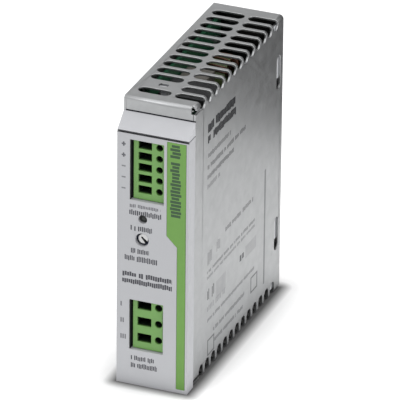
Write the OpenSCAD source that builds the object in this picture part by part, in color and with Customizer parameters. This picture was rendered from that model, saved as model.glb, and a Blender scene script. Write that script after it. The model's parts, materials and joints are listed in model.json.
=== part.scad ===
// DIN rail power supply with pluggable front terminals.
// X runs across the width, -Y is the front and +Z is up.
// The origin is at the centre of the base of the bounding box.

/* [Housing] */
// Width of the housing
body_w = 32; // [32:0.5:34]
// Height of the housing
body_h = 130; // [130:1:134]
// Depth of the housing, without the rail adapter
housing_d = 107; // [107:1:110]
// Thickness of the sheet steel
sheet_t = 1.0; // [0.8:0.1:1.0]
// Outer radius of the long bends in the sheet steel
bend_r = 2.0; // [1.8:0.1:2.2]
// Outer radius of the bends at the front flanges
front_bend_r = 1.6; // [1.4:0.1:1.8]

/* [Front panel] */
// Thickness of the plastic front panel
panel_t = 2.0; // [1.8:0.1:2.2]
// Distance of the steel front flanges behind the panel's face
step_back = 7.2; // [7:0.1:7.4]
// Height of the top edge of the front panel
panel_top = 117.5; // [117.5:0.1:118]
// Height of the top edge of the bevel above the panel
bevel_top = 124; // [123.8:0.1:124.2]

/* [Ventilation] */
// Number of slots in each row
vent_count = 13; // [11:1:13]
// Distance between slots
vent_pitch = 6.85; // [6.7:0.05:6.9]
// Width of a slot
vent_w = 5.0; // [4.5:0.1:5]

/* [Terminals] */
// Distance between the output terminals
out_pitch = 5.08; // [5.04:0.02:5.08]
// Distance between the input terminals
in_pitch = 7.62; // [7.5:0.02:7.62]
// Turns of a terminal screw from open to tight
screw_turns = 4; // [3:1:4]

/* [Rail adapter] */
// Height of the centre of the rail above the base
rail_z = 65; // [64:1:66]
// Travel of the rail latch
latch_travel = 5; // [4:0.5:5]

/* [Hidden] */
fine = 48;

// Planes of the housing
adapter_d = 8;
x_l = -body_w / 2;
x_r = body_w / 2;
y_front = -(housing_d + adapter_d) / 2;
y_rear = y_front + housing_d;
y_back = y_rear + adapter_d;
y_metal = y_front + step_back;
seam = 0.5;
flange_lap = 1.6;
fit = 0.05;

// Sheet steel details
flange_d = 11;
flange_end = y_rear - flange_d;
flange_x = x_r - sheet_t - fit;
side_hole_r = 1.7;
side_hole_y = y_rear - 5;
side_hole_z = [22.8, 99.4];
side_slot_w = 4.4;
side_slot_rise = 13.4;
vent_x_left = [x_l + 3, x_l + 17.4];
vent_x_right = x_l + 19.5;
vent_drop = 4;
vent_rise = 6.4;
vent_y0 = y_metal + (y_rear - y_metal - (vent_count - 1) * vent_pitch) / 2;
plain_vent = 1;
window_x = x_l + 11.4;
window_y = vent_y0 + plain_vent * vent_pitch;
window_w = 4;
window_d = 2.6;
notch_h = 1.3;
cover_screw_y = [-40, 40];
cover_screw_z = [5, body_h - 5];
tab_h = 8;

// Printed circuit board
board_t = 1.6;
board_x = x_l + 4.8;
board_back = board_x - board_t;
board_y = [y_metal + sheet_t + 0.4, y_rear - 3.5];
board_z = [4, body_h - 4];
board_tab_z = [60, 84];
standoff_yz = [[-45, 57], [-42, 117], [40, 117], [40, 13], [-26, 8]];

// Front controls
led_x = x_l + 11.6;
led_z = 78.2;
led_r = 1.8;
trim_x = x_l + 11.3;
trim_z = 68.6;
trim_hole_r = 3.0;
trim_r = 2.1;

// Plugs: both openings share their X range and the columns of entries and screws
out_poles = 5;
in_poles = 3;
plug_x = [x_l + 5.8, x_l + 21.0];
out_z = [86.5, 114.2];
in_z = [16.6, 40.0];
out_first = 111.7;
in_first = 37.3;
entry_x = x_l + 12;
screw_x = x_l + 18.4;
plug_gap = 0.25;
plug_left_gap = 1.05;
plug_face = y_front + 1.5;
screw_r = 1.4;
screw_head_y = y_front + 7.5;
chamber_half = 1.95;
chamber_y = [y_front + 11.2, y_front + 20.6];
plug_rear = y_front + 21.5;
nose_rear = y_front + 28.5;
header_y = [plug_rear + 0.3, y_front + 33];
thread_pitch = 0.5;
clamp_travel = thread_pitch * screw_turns;
clamp_y = [chamber_y[0] + clamp_travel + 0.4, chamber_y[0] + clamp_travel + 5.4];

// Rail adapter for the standard 35 mm rail
rail_h = 35;
seat_y = y_rear + 3.5;
lip_y = seat_y + 1.3;
lip_reach = 2.2;
lip_half_w = 12;
adapter_z = [14, 106];
adapter_half_w = 14;
latch_half_w = 5.5;
guide_half_w = 6.8;
guide_y = [y_rear + 0.7, y_rear + 2.2];
adapter_screw_x = [-10.5, 10.5];
spring_y = y_rear + 1.85;
spring_z = [24, 38];
spring_r = 1.5;
wire_r = 0.25;
spring_turns = 7;
latch_z = [12, rail_z - rail_h / 2 - 1.8];

// ---------- helpers ----------

module block(x, y, z) {
    translate([x[0], y[0], z[0]])
        cube([x[1] - x[0], y[1] - y[0], z[1] - z[0]]);
}

module rod_x(r, x, y, z) {
    translate([x[0], y, z])
        rotate([0, 90, 0])
            cylinder(r = r, h = x[1] - x[0], $fn = fine);
}

module rod_y(r, x, y, z) {
    translate([x, y[0], z])
        rotate([-90, 0, 0])
            cylinder(r = r, h = y[1] - y[0], $fn = fine);
}

module rod_z(r, x, y, z) {
    translate([x, y, z[0]])
        cylinder(r = r, h = z[1] - z[0], $fn = fine);
}

// Slot with round ends, long in X, cut through a face that looks up
module slot_x(x, y, z, w) {
    block([x[0] + w / 2, x[1] - w / 2], [y - w / 2, y + w / 2], z);
    for (end = [x[0] + w / 2, x[1] - w / 2])
        rod_z(w / 2, end, y, z);
}

// Slot with round ends, long in Z, cut through a face that looks sideways
module slot_z(x, y, z, w) {
    block(x, [y - w / 2, y + w / 2], [z[0] + w / 2, z[1] - w / 2]);
    for (end = [z[0] + w / 2, z[1] - w / 2])
        rod_x(w / 2, x, y, end);
}

// Rectangle whose two corners at the high end of its first axis are round
module d_shape(u, v, r) {
    translate([u[0], v[0]])
        square([u[1] - r - u[0], v[1] - v[0]]);
    translate([u[0], v[0] + r])
        square([u[1] - u[0], v[1] - v[0] - 2 * r]);
    for (c = [v[0] + r, v[1] - r])
        translate([u[1] - r, c])
            circle(r = r, $fn = fine);
}

// Sheet bent twice into a channel, open at the low end of its first axis
module channel_shape(u, v, r, t) {
    difference() {
        d_shape(u, v, r);
        d_shape([u[0] - 1, u[1] - t], [v[0] + t, v[1] - t], r - t);
    }
}

// Repeats its children at the top and, mirrored, at the bottom
module top_and_bottom() {
    children();
    translate([0, 0, body_h])
        mirror([0, 0, 1])
            children();
}

function pole_z(first, pitch, i) = first - i * pitch;

// ---------- sheet steel housing ----------

module chassis() {
    color("silver")
        difference() {
            linear_chassis();
            for (y = cover_screw_y, z = cover_screw_z)
                translate([x_l, y, z])
                    rotate([0, 90, 0])
                        cylinder(r1 = 2.65, r2 = 1.55, h = sheet_t, $fn = fine);
            for (z = side_hole_z)
                rod_x(side_hole_r, [flange_x - sheet_t - 1, flange_x + 1], side_hole_y, z);
            for (x = adapter_screw_x, z = side_hole_z)
                rod_y(1.5, x, [y_rear - sheet_t - 1, y_rear + 1], z);
        }
}

// Left wall, rear wall and the narrow flange inside the right wall
module linear_chassis() {
    z0 = sheet_t + fit;
    z1 = body_h - sheet_t - fit;
    difference() {
        translate([0, 0, z0])
            linear_extrude(z1 - z0)
                rotate(90)
                    channel_shape([y_metal, y_rear], [-flange_x, -x_l], bend_r, sheet_t);
        block([x_l + sheet_t + 1, x_r], [y_metal - 1, flange_end], [0, body_h]);
        top_and_bottom()
            block([x_l - 1, x_r], [y_metal - 1, y_metal + front_bend_r + fit],
                [body_h - front_bend_r - fit, body_h]);
        top_and_bottom()
            block([flange_x - sheet_t - 1, x_r], [flange_end - 1, y_rear + 1],
                [body_h - sheet_t - 1.2, body_h]);
    }
}

module cover() {
    color("gainsboro")
        difference() {
            union() {
                translate([0, y_rear, 0])
                    rotate([90, 0, 0])
                        linear_extrude(y_rear - y_metal - front_bend_r)
                            channel_shape([x_l, x_r], [0, body_h], bend_r, sheet_t);
                block([x_r - sheet_t, x_r], [y_metal, y_metal + front_bend_r + 1],
                    [bend_r, body_h - bend_r]);
                top_and_bottom() {
                    front_flange();
                    for (y = cover_screw_y)
                        cover_tab(y);
                }
            }
            vent_cuts(vent_drop);
            translate([0, 0, body_h])
                mirror([0, 0, 1])
                    vent_cuts(vent_rise);
            for (z = side_hole_z)
                slot_z([x_r - sheet_t - 0.5, x_r + 1], side_hole_y,
                    [z - side_slot_w / 2, z + side_slot_rise], side_slot_w);
            for (y = cover_screw_y, z = cover_screw_z)
                rod_x(1.5, [x_l, x_l + 3 * sheet_t], y, z);
        }
}

// Flange that the top sheet turns down in front, with its bend
module front_flange() {
    x_end = x_r - bend_r;
    translate([x_l, y_metal + front_bend_r, body_h - front_bend_r])
        rotate([90, 0, 90])
            linear_extrude(x_end - x_l)
                intersection() {
                    difference() {
                        circle(r = front_bend_r, $fn = fine);
                        circle(r = front_bend_r - sheet_t, $fn = fine);
                    }
                    translate([-2 * front_bend_r, 0])
                        square(2 * front_bend_r);
                }
    block([x_l + sheet_t + fit, x_r - sheet_t - 0.1], [y_metal, y_metal + sheet_t],
        [bevel_top - flange_lap, body_h - front_bend_r]);
}

// Tab inside the left wall that a cover screw holds
module cover_tab(y) {
    x0 = x_l + sheet_t + fit;
    block([x0, x0 + sheet_t], [y - 5, y + 5], [body_h - tab_h, body_h - sheet_t / 2]);
}

// Slots through the top sheet, the window for the snap hook and the corner relief
module vent_cuts(drop) {
    z_over = body_h + 1;
    z_turn = body_h - drop + vent_w / 2;
    for (i = [0 : vent_count - 1]) {
        y = vent_y0 + i * vent_pitch;
        if (i != plain_vent)
            slot_x(vent_x_left, y, [body_h - sheet_t - 0.5, z_over], vent_w);
        rod_z(vent_w / 2, vent_x_right + vent_w / 2, y, [body_h - sheet_t - 0.5, z_over]);
        block([vent_x_right + vent_w / 2, x_r + 1], [y - vent_w / 2, y + vent_w / 2],
            [z_turn, z_over]);
        rod_x(vent_w / 2, [x_r - bend_r - 0.1, x_r + 1], y, z_turn);
    }
    block([window_x - window_w / 2, window_x + window_w / 2],
        [window_y - window_d / 2, window_y + window_d / 2],
        [body_h - sheet_t - 0.5, z_over]);
    block([x_r - bend_r, x_r + 1], [y_metal - 1, vent_y0],
        [body_h - bend_r - notch_h, body_h - bend_r + 0.1]);
}

module cover_screws() {
    color("lightgray")
        for (y = cover_screw_y, z = cover_screw_z)
            difference() {
                union() {
                    translate([x_l, y, z])
                        rotate([0, 90, 0])
                            cylinder(r1 = 2.6, r2 = 1.48, h = sheet_t, $fn = fine);
                    rod_x(1.48, [x_l + sheet_t, x_l + 2.8], y, z);
                }
                block([x_l - 1, x_l + 0.6], [y - 1.5, y + 1.5], [z - 0.3, z + 0.3]);
                block([x_l - 1, x_l + 0.6], [y - 0.3, y + 0.3], [z - 1.5, z + 1.5]);
            }
}

// ---------- plastic front ----------

module front_panel() {
    z1 = panel_top - seam;
    side_t = 1.5;
    guide = 1.3;
    color("lightgray")
        difference() {
            union() {
                block([x_l, x_r], [y_front, y_front + panel_t], [0, z1]);
                block([x_l, x_l + side_t], [y_front, y_metal - fit], [0, z1]);
                block([x_r - side_t, x_r], [y_front, y_metal - fit], [0, z1]);
                block([x_l, x_r], [y_front, y_metal - fit], [0, side_t]);
                for (z = [out_z, in_z])
                    block([plug_x[0] - guide, plug_x[1] + guide], [y_front, y_front + 5],
                        [z[0] - guide, z[1] + guide]);
                translate([0, 0, body_h])
                    mirror([0, 0, 1])
                        snap_hook(y_front + 1);
            }
            for (z = [out_z, in_z])
                block(plug_x, [y_front - 1, y_front + 6], z);
            rod_y(led_r + 0.15, led_x, [y_front - 1, y_front + panel_t + 1], led_z);
            rod_y(trim_hole_r, trim_x, [y_front - 1, y_front + panel_t + 1], trim_z);
            accent_prism([y_front - 1, y_front + 1.1], 0);
        }
}

// Hook that reaches behind the steel flange and springs into the top sheet's window
module snap_hook(root_y) {
    x = [window_x - 2.6, window_x + 2.6];
    y_in = y_metal + sheet_t + 0.4;
    z_arm = body_h - sheet_t - 0.3;
    z_root = bevel_top - seam - 1.3;
    x_tip = [window_x - 1.7, window_x + 1.7];
    block(x, [root_y, y_in + 1.6], [z_root - 1.7, z_root]);
    block(x_tip, [y_in, window_y + 2.2], [z_root - 1.7, z_root]);
    block(x_tip, [window_y + 0.6, window_y + 2.2], [z_root - 0.1, z_arm]);
    block(x_tip, [window_y - 1.1, window_y + 2.2], [z_arm - 1.4, z_arm]);
    block(x_tip, [window_y - 1.1, window_y - 0.1], [z_arm - 0.5, z_arm + 0.9]);
}

module front_bevel() {
    z0 = panel_top;
    z1 = bevel_top - seam;
    rise = (z1 - z0) / (y_metal - fit - y_front);
    inner_y = y_front + 2.8;
    end_t = 1.5;
    color("lightgray") {
        difference() {
            translate([x_l, 0, 0])
                rotate([90, 0, 90])
                    linear_extrude(body_w)
                        polygon([[y_front, z0], [y_metal - fit, z0], [y_metal - fit, z1]]);
            translate([x_l + end_t, 0, 0])
                rotate([90, 0, 90])
                    linear_extrude(body_w - 2 * end_t)
                        polygon([[inner_y, z0 - 1], [y_metal + 1, z0 - 1],
                            [y_metal + 1, z0 + (y_metal + 1 - inner_y) * rise], [inner_y, z0]]);
        }
        snap_hook(y_metal - 1.2);
        for (x = [x_l + 3, x_r - 9])
            block([x, x + 6], [y_front + panel_t + 0.1, y_front + panel_t + 1.3],
                [panel_top - 1.6, panel_top + 1.5]);
    }
}

// Outline of the coloured strip: wide beside the output plug, narrow below it
module accent_prism(y, gap) {
    x_wide = x_l + 22.3 + gap;
    x_slim = x_l + 27.0 + gap;
    x_edge = x_l + 30.9 - gap;
    z_wide = 72.8;
    translate([0, y[1], 0])
        rotate([90, 0, 0])
            linear_extrude(y[1] - y[0])
                polygon([[x_slim, 1.7 + gap], [x_edge, 1.7 + gap], [x_edge, 116.2 - gap],
                    [x_wide, 116.2 - gap], [x_wide, z_wide],
                    [x_slim, z_wide - (x_slim - x_wide)]]);
}

module accent_strip() {
    color("yellowgreen")
        accent_prism([y_front, y_front + 1.1], 0.08);
}

// ---------- board ----------

module main_board() {
    color("darkgreen")
        difference() {
            union() {
                block([board_back, board_x], board_y, board_z);
                block([board_back, board_x], [y_front + 5.5, board_y[0] + 1], board_tab_z);
            }
            for (p = standoff_yz)
                rod_x(1.4, [board_back - 1, board_x + 1], p[0], p[1]);
            for (i = [0 : out_poles - 1])
                rod_x(0.75, [board_back - 1, board_x + 1], header_y[1] + 1.4,
                    pole_z(out_first, out_pitch, i));
            for (i = [0 : in_poles - 1])
                rod_x(0.75, [board_back - 1, board_x + 1], header_y[1] + 1.4,
                    pole_z(in_first, in_pitch, i));
        }
}

module board_standoffs() {
    color("goldenrod")
        for (p = standoff_yz)
            translate([x_l + sheet_t, p[0], p[1]])
                rotate([0, 90, 0])
                    difference() {
                        cylinder(r = 2.8, h = board_back - x_l - sheet_t, $fn = 6);
                        translate([0, 0, 0.4])
                            cylinder(r = 1.25, h = board_back - x_l, $fn = fine);
                    }
}

module board_screws() {
    color("silver")
        for (p = standoff_yz)
            difference() {
                union() {
                    rod_x(2.2, [board_x, board_x + 1.5], p[0], p[1]);
                    rod_x(1.23, [x_l + sheet_t + 0.6, board_x], p[0], p[1]);
                }
                block([board_x + 0.8, board_x + 2], [p[0] - 1.5, p[0] + 1.5],
                    [p[1] - 0.3, p[1] + 0.3]);
                block([board_x + 0.8, board_x + 2], [p[0] - 0.3, p[0] + 0.3],
                    [p[1] - 1.5, p[1] + 1.5]);
            }
}

module insulation_sheet() {
    x0 = x_l + sheet_t + 0.5;
    color("lightyellow")
        difference() {
            block([x0, x0 + 0.3], [board_y[0], board_y[1] - 0.5], [9, body_h - 9]);
            for (p = standoff_yz)
                rod_x(3.3, [x0 - 1, x0 + 1], p[0], p[1]);
        }
}

// ---------- power components ----------

core_x = board_x + 11.5;
core_y = -6;
core_zc = 57;
leg = 4.2;
window = 10.9;

module transformer_core() {
    color("dimgray")
        difference() {
            block([core_x - 5, core_x + 5], [core_y - 14.5, core_y + 14.5],
                [core_zc - 15, core_zc + 15]);
            for (side = [-1, 1])
                translate([core_x, core_y + side * (leg + window) / 2, core_zc])
                    cube([12, window - leg, 20], center = true);
        }
}

module transformer_bobbin() {
    wall = 1;
    color("black") {
        for (z = [core_zc - 9.8, core_zc + 8.6])
            difference() {
                block([core_x - 10.3, core_x + 10.3], [core_y - 10.6, core_y + 10.6],
                    [z, z + 1.2]);
                block([core_x - 5.1, core_x + 5.1], [core_y - leg - 0.1, core_y + leg + 0.1],
                    [z - 1, z + 3]);
            }
        difference() {
            block([core_x - 5.1 - wall, core_x + 5.1 + wall],
                [core_y - leg - 0.1 - wall, core_y + leg + 0.1 + wall],
                [core_zc - 9.8, core_zc + 9.8]);
            block([core_x - 5.1, core_x + 5.1], [core_y - leg - 0.1, core_y + leg + 0.1],
                [core_zc - 11, core_zc + 11]);
        }
        for (z = [core_zc - 20, core_zc + 15.2])
            block([board_x, board_x + 4], [core_y - 12, core_y + 12], [z, z + 4.8]);
        for (z = [core_zc - 15.2, core_zc + 8.6])
            block([board_x, core_x - 9.3], [core_y - 10.6, core_y + 10.6], [z, z + 6.6]);
    }
}

module transformer_winding() {
    color("khaki")
        difference() {
            rod_z(10.0, core_x, core_y, [core_zc - 8.5, core_zc + 8.5]);
            block([core_x - 6.15, core_x + 6.15], [core_y - leg - 1.15, core_y + leg + 1.15],
                [core_zc - 9, core_zc + 9]);
        }
}

// Electrolytic capacitor standing on the board: rolled groove near its foot, bung and leads
module can_capacitor(r, h, y, z) {
    rod_x(r, [board_x + 0.6, board_x + 2.4], y, z);
    rod_x(r - 0.5, [board_x + 2.4, board_x + 3.4], y, z);
    rod_x(r, [board_x + 3.4, board_x + h - 0.6], y, z);
    translate([board_x + h - 0.6, y, z])
        rotate([0, 90, 0])
            cylinder(r1 = r, r2 = r - 0.6, h = 0.6, $fn = fine);
    for (side = [-1, 1])
        rod_x(0.4, [board_x, board_x + 0.6], y + side * r * 0.4, z);
}

bulk_yz = [[35, 42], [35, 62], [35, 82]];
output_cap_yz = [[-19, 86], [-8.6, 86], [1.8, 86], [12.2, 86]];

module bulk_capacitors() {
    color("midnightblue")
        for (p = bulk_yz)
            can_capacitor(9, 25, p[0], p[1]);
}

module output_capacitors() {
    color("darkslategray")
        for (p = output_cap_yz)
            can_capacitor(5, 21, p[0], p[1]);
}

// Chokes: [centre y, centre z, outer radius, inner radius, height]
chokes = [[13, 17, 9.5, 5, 9], [30, 106, 9, 4.5, 8]];

module choke_ring(c, grow, angle) {
    h = c[4] / 2 + grow;
    rotate_extrude(angle = angle, $fn = fine)
        translate([c[3] - grow, -h])
            square([c[2] - c[3] + 2 * grow, 2 * h]);
}

module choke_place(c) {
    translate([board_x + 3.2 + c[4] / 2, c[0], c[1]])
        rotate([0, 90, 0])
            children();
}

module choke_cores() {
    color("darkolivegreen")
        for (c = chokes)
            choke_place(c)
                choke_ring(c, 0, 360);
}

module choke_windings() {
    color("peru")
        for (c = chokes) {
            for (start = [25, 205])
                choke_place(c)
                    rotate(start)
                        difference() {
                            choke_ring(c, 1.3, 130);
                            rotate(-2)
                                choke_ring(c, 0.05, 134);
                        }
            for (side = [-1, 1])
                rod_x(0.5, [board_x, board_x + 2.2], c[0] + side * (c[2] - 2), c[1]);
        }
}

// Film capacitors: [y centre, z centre, size y, size z, height]
films = [[-4, 16, 9, 18, 15], [31, 17, 9, 18, 15], [2, 112, 10, 15, 13]];

module suppression_capacitors() {
    color("wheat")
        for (f = films) {
            block([board_x + 0.5, board_x + f[4]], [f[0] - f[2] / 2, f[0] + f[2] / 2],
                [f[1] - f[3] / 2, f[1] + f[3] / 2]);
            for (side = [-1, 1])
                rod_x(0.4, [board_x, board_x + 0.5], f[0], f[1] + side * (f[3] / 2 - 2));
        }
}

fuse_y = -19;

module fuse() {
    x = board_x + 5;
    color("white") {
        rod_z(2.4, x, fuse_y, [9, 21]);
        for (z = [5, 21]) {
            rod_z(2.6, x, fuse_y, [z, z + 4]);
            rod_x(0.4, [board_x, x - 2.4], fuse_y, z + 2);
        }
    }
}

module varistor() {
    y = -16;
    z = 31;
    color("steelblue") {
        rod_y(5.5, board_x + 8, [y, y + 4.5], z);
        for (side = [-1, 1])
            rod_x(0.4, [board_x, board_x + 4], y + 2.2 + side * 0.9, z + side * 2.5);
    }
}

module bridge_rectifier() {
    y = 24;
    z = [30, 48];
    color("black") {
        block([board_x + 4, board_x + 15], [y - 1.8, y + 1.8], z);
        for (i = [0 : 3])
            block([board_x, board_x + 4], [y - 0.3, y + 0.3],
                [z[0] + 1.5 + i * 4.6, z[0] + 2.5 + i * 4.6]);
    }
}

// Heat sinks: folded aluminium plates that stand on the board
primary_y = 20;
primary_z = [50, 80];
package_reach = 16;
secondary_x = x_r - 5.2;
secondary_z = [97, 121];
secondary_y = [-46, -9];

module primary_heatsink() {
    color("silver")
        difference() {
            union() {
                block([board_x, board_x + 23], [primary_y, primary_y + 2], primary_z);
                block([board_x + 21, board_x + 23], [primary_y - 8, primary_y + 0.1], primary_z);
            }
            rod_y(1.6, board_x + package_reach, [primary_y - 1, primary_y + 3],
                primary_z[0] + 8);
        }
}

module secondary_heatsink() {
    z_foot = secondary_z[1] - 2;
    color("silver")
        difference() {
            union() {
                block([secondary_x, secondary_x + 2], secondary_y, secondary_z);
                block([board_x, secondary_x + 0.1], [secondary_y[1] - 16, secondary_y[1]],
                    [z_foot, secondary_z[1]]);
            }
            rod_x(1.6, [secondary_x - 1, secondary_x + 3], secondary_y[1] - 6, 108);
        }
}

// Plastic package with a metal tab and three leads, drawn with its back on z = 0,
// its leads towards -X and its screw hole on the Z axis
module power_package() {
    difference() {
        translate([-3, -5, 0])
            cube([6.2, 10, 1.3]);
        cylinder(r = 1.8, h = 10, center = true, $fn = fine);
    }
    translate([-12.4, -5, 0])
        cube([9.4, 10, 4.4]);
    for (side = [-1, 0, 1])
        translate([-16, side * 2.54 - 0.4, 2])
            cube([3.7, 0.8, 0.5]);
}

module power_transistor() {
    color("black")
        translate([board_x + package_reach, primary_y, primary_z[0] + 8])
            rotate([90, 0, 0])
                power_package();
}

module output_diode() {
    y = secondary_y[1] - 6;
    z = 108;
    color("black") {
        translate([secondary_x, y, z])
            rotate([0, -90, 0])
                power_package();
        for (side = [-1, 0, 1])
            block([board_x, secondary_x - 2], [y + side * 2.54 - 0.4, y + side * 2.54 + 0.4],
                [z - package_reach, z - package_reach + 0.5]);
    }
}

module heatsink_screws() {
    x1 = board_x + package_reach;
    z1 = primary_z[0] + 8;
    y2 = secondary_y[1] - 6;
    color("gray") {
        rod_y(1.55, x1, [primary_y - 1.3, primary_y + 3], z1);
        rod_y(2.8, x1, [primary_y - 3.4, primary_y - 1.3], z1);
        rod_y(2.9, x1, [primary_y + 2, primary_y + 3.8], z1);
        rod_x(1.55, [secondary_x - 1.3, secondary_x + 2.2], y2, 108);
        rod_x(2.8, [secondary_x - 3.4, secondary_x - 1.3], y2, 108);
    }
}

module control_chips() {
    color("black")
        for (p = [[-38, 50], [-38, 64], [-30, 74], [12, 72], [-27, 58]]) {
            block([board_x + 0.4, board_x + 3], [p[0] - 3, p[0] + 3], [p[1] - 4, p[1] + 4]);
            for (side = [-1, 1], i = [-1.5 : 1 : 1.5])
                block([board_x, board_x + 1.4],
                    [p[0] + side * 3.4 - 0.4, p[0] + side * 3.4 + 0.4],
                    [p[1] + i * 2 - 0.3, p[1] + i * 2 + 0.3]);
        }
}

// ---------- front controls ----------

module led_holder() {
    color("black")
        block([board_x, led_x + 2.4], [y_front + 6, y_front + 12], [led_z - 3, led_z + 3]);
}

module status_led() {
    color("seagreen") {
        rod_y(led_r, led_x, [y_front + 0.9, y_front + 4.8], led_z);
        rod_y(led_r + 0.4, led_x, [y_front + 4.8, y_front + 6], led_z);
    }
}

module trimmer_body() {
    y0 = y_front + panel_t + 0.3;
    half = 4.7;
    color("royalblue")
        difference() {
            union() {
                block([trim_x - half, trim_x + half], [y0, y0 + 5],
                    [trim_z - half, trim_z + half]);
                for (i = [-1, 0, 1])
                    block([board_x, trim_x - half], [y0 + 3.7, y0 + 4.4],
                        [trim_z + 2.5 * i - 0.35, trim_z + 2.5 * i + 0.35]);
            }
            rod_y(trim_r + 0.3, trim_x, [y0 - 1, y0 + 1.2], trim_z);
            rod_y(1.05, trim_x, [y0, y0 + 4.2], trim_z);
        }
}

module trimmer_rotor() {
    y0 = y_front + panel_t + 0.3;
    color("white")
        difference() {
            union() {
                rod_y(trim_r, trim_x, [y0 - 0.8, y0 + 1], trim_z);
                rod_y(1.0, trim_x, [y0 + 0.9, y0 + 4], trim_z);
            }
            translate([trim_x, y0 + 0.4, trim_z])
                rotate([90, 0, 0])
                    linear_extrude(2)
                        rotate(-45)
                            polygon([[-1.1, 0.35], [-1.1, -0.35], [2.5, -0.8], [2.5, 0.8]]);
        }
}

// ---------- plugs and headers ----------

// Body of a plug; every pole has a wire entry, a screw well and one chamber
module plug_body(z, first, pitch, poles, entry, mouth_r) {
    x = [plug_x[0] + plug_left_gap, plug_x[1] - plug_gap];
    color("limegreen")
        difference() {
            union() {
                block(x, [plug_face, plug_rear], [z[0] + plug_gap, z[1] - plug_gap]);
                block([x[0], x[1] - 0.8], [plug_rear - 1, nose_rear],
                    [z[0] + 1.3, z[1] - 1.3]);
            }
            for (i = [0 : poles - 1]) {
                zp = pole_z(first, pitch, i);
                block([entry_x - entry[0] / 2, entry_x + entry[0] / 2],
                    [plug_face - 1, chamber_y[0] + 0.1], [zp - entry[1] / 2, zp + entry[1] / 2]);
                rod_y(mouth_r, screw_x, [plug_face - 1, screw_head_y - 0.5], zp);
                rod_y(screw_r + 0.08, screw_x, [screw_head_y - 1, chamber_y[0] + 0.1], zp);
                block([x_l + 8.7, x_l + 20.25], chamber_y,
                    [zp - chamber_half, zp + chamber_half]);
                block([x_l + 10.6, x_l + 13.4], [chamber_y[1] - 0.1, nose_rear + 1],
                    [zp - 1.3, zp + 1.3]);
            }
            for (zz = z)
                block([x[0] + 2, x[1] - 2], [plug_face + 4, plug_face + 5.2],
                    [zz - 0.75, zz + 0.75]);
        }
}

// Spring contacts: a wire cage in the chamber and a fork that grips the header's pin
module plug_contacts(first, pitch, poles) {
    half = chamber_half - 0.15;
    t = 0.4;
    color("silver")
        for (i = [0 : poles - 1]) {
            zp = pole_z(first, pitch, i);
            y1 = chamber_y[1] - 0.02;
            block([x_l + 8.8, x_l + 15.7], [y1 - t, y1], [zp - half, zp + half]);
            for (x = [x_l + 8.8, x_l + 15.3])
                block([x, x + t], [chamber_y[0] + 0.4, y1 - t], [zp - half, zp + half]);
            for (x = [x_l + 11.1, x_l + 12.5])
                block([x, x + t], [y1 - t, nose_rear - 1], [zp - 1.0, zp + 1.0]);
        }
}

// Slotted terminal screw
module terminal_screw(zp) {
    color("lightsteelblue")
        difference() {
            rod_y(screw_r, screw_x, [screw_head_y, chamber_y[1] - 0.3], zp);
            block([screw_x - 2, screw_x + 2], [screw_head_y - 1, screw_head_y + 0.8],
                [zp - 0.3, zp + 0.3]);
        }
}

// Wedge nut that the screw draws forward against the wire cage
module clamp_wedge(zp) {
    half = chamber_half - 0.25;
    color("silver")
        difference() {
            translate([0, 0, zp - half])
                linear_extrude(2 * half)
                    polygon([[x_l + 20.15, clamp_y[0]], [x_l + 16.4, clamp_y[0]],
                        [x_l + 15.9, clamp_y[1]], [x_l + 20.15, clamp_y[1]]]);
            rod_y(screw_r + fit, screw_x, [clamp_y[0] - 1, clamp_y[1] + 1], zp);
        }
}

module header_body(z, first, pitch, poles) {
    x = [board_x, plug_x[1] - plug_gap];
    hole = 0.47;
    color("green")
        difference() {
            block(x, header_y, [z[0] + plug_gap, z[1] - plug_gap]);
            block([plug_x[0] + plug_gap + 0.5, x[1] - 0.5], [header_y[0] - 1, nose_rear + 0.4],
                [z[0] + 1.0, z[1] - 1.0]);
            for (i = [0 : poles - 1]) {
                zp = pole_z(first, pitch, i);
                block([x_l + 12 - hole, x_l + 12 + hole], [header_y[0], header_y[1] + 1],
                    [zp - hole, zp + hole]);
            }
        }
}

// Square pins, bent down through the board behind the header
module header_pins(first, pitch, poles) {
    half = 0.45;
    y_tail = header_y[1] + 1.4;
    color("silver")
        for (i = [0 : poles - 1]) {
            zp = pole_z(first, pitch, i);
            block([x_l + 12 - half, x_l + 12 + half], [plug_rear + 1.5, y_tail + half],
                [zp - half, zp + half]);
            block([board_back - 0.7, x_l + 12 - half], [y_tail - half, y_tail + half],
                [zp - half, zp + half]);
        }
}

module output_plug() {
    plug_body(out_z, out_first, out_pitch, out_poles, [5.9, 3.5], 1.5);
}

module output_contacts() {
    plug_contacts(out_first, out_pitch, out_poles);
}

module output_screw(i) {
    terminal_screw(pole_z(out_first, out_pitch, i - 1));
}

module output_clamp(i) {
    clamp_wedge(pole_z(out_first, out_pitch, i - 1));
}

module output_header() {
    header_body(out_z, out_first, out_pitch, out_poles);
}

module output_header_pins() {
    header_pins(out_first, out_pitch, out_poles);
}

module input_plug() {
    plug_body(in_z, in_first, in_pitch, in_poles, [6.2, 3.9], 1.65);
}

module input_contacts() {
    plug_contacts(in_first, in_pitch, in_poles);
}

module input_screw(i) {
    terminal_screw(pole_z(in_first, in_pitch, i - 1));
}

module input_clamp(i) {
    clamp_wedge(pole_z(in_first, in_pitch, i - 1));
}

module input_header() {
    header_body(in_z, in_first, in_pitch, in_poles);
}

module input_header_pins() {
    header_pins(in_first, in_pitch, in_poles);
}

// ---------- rail adapter ----------

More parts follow.
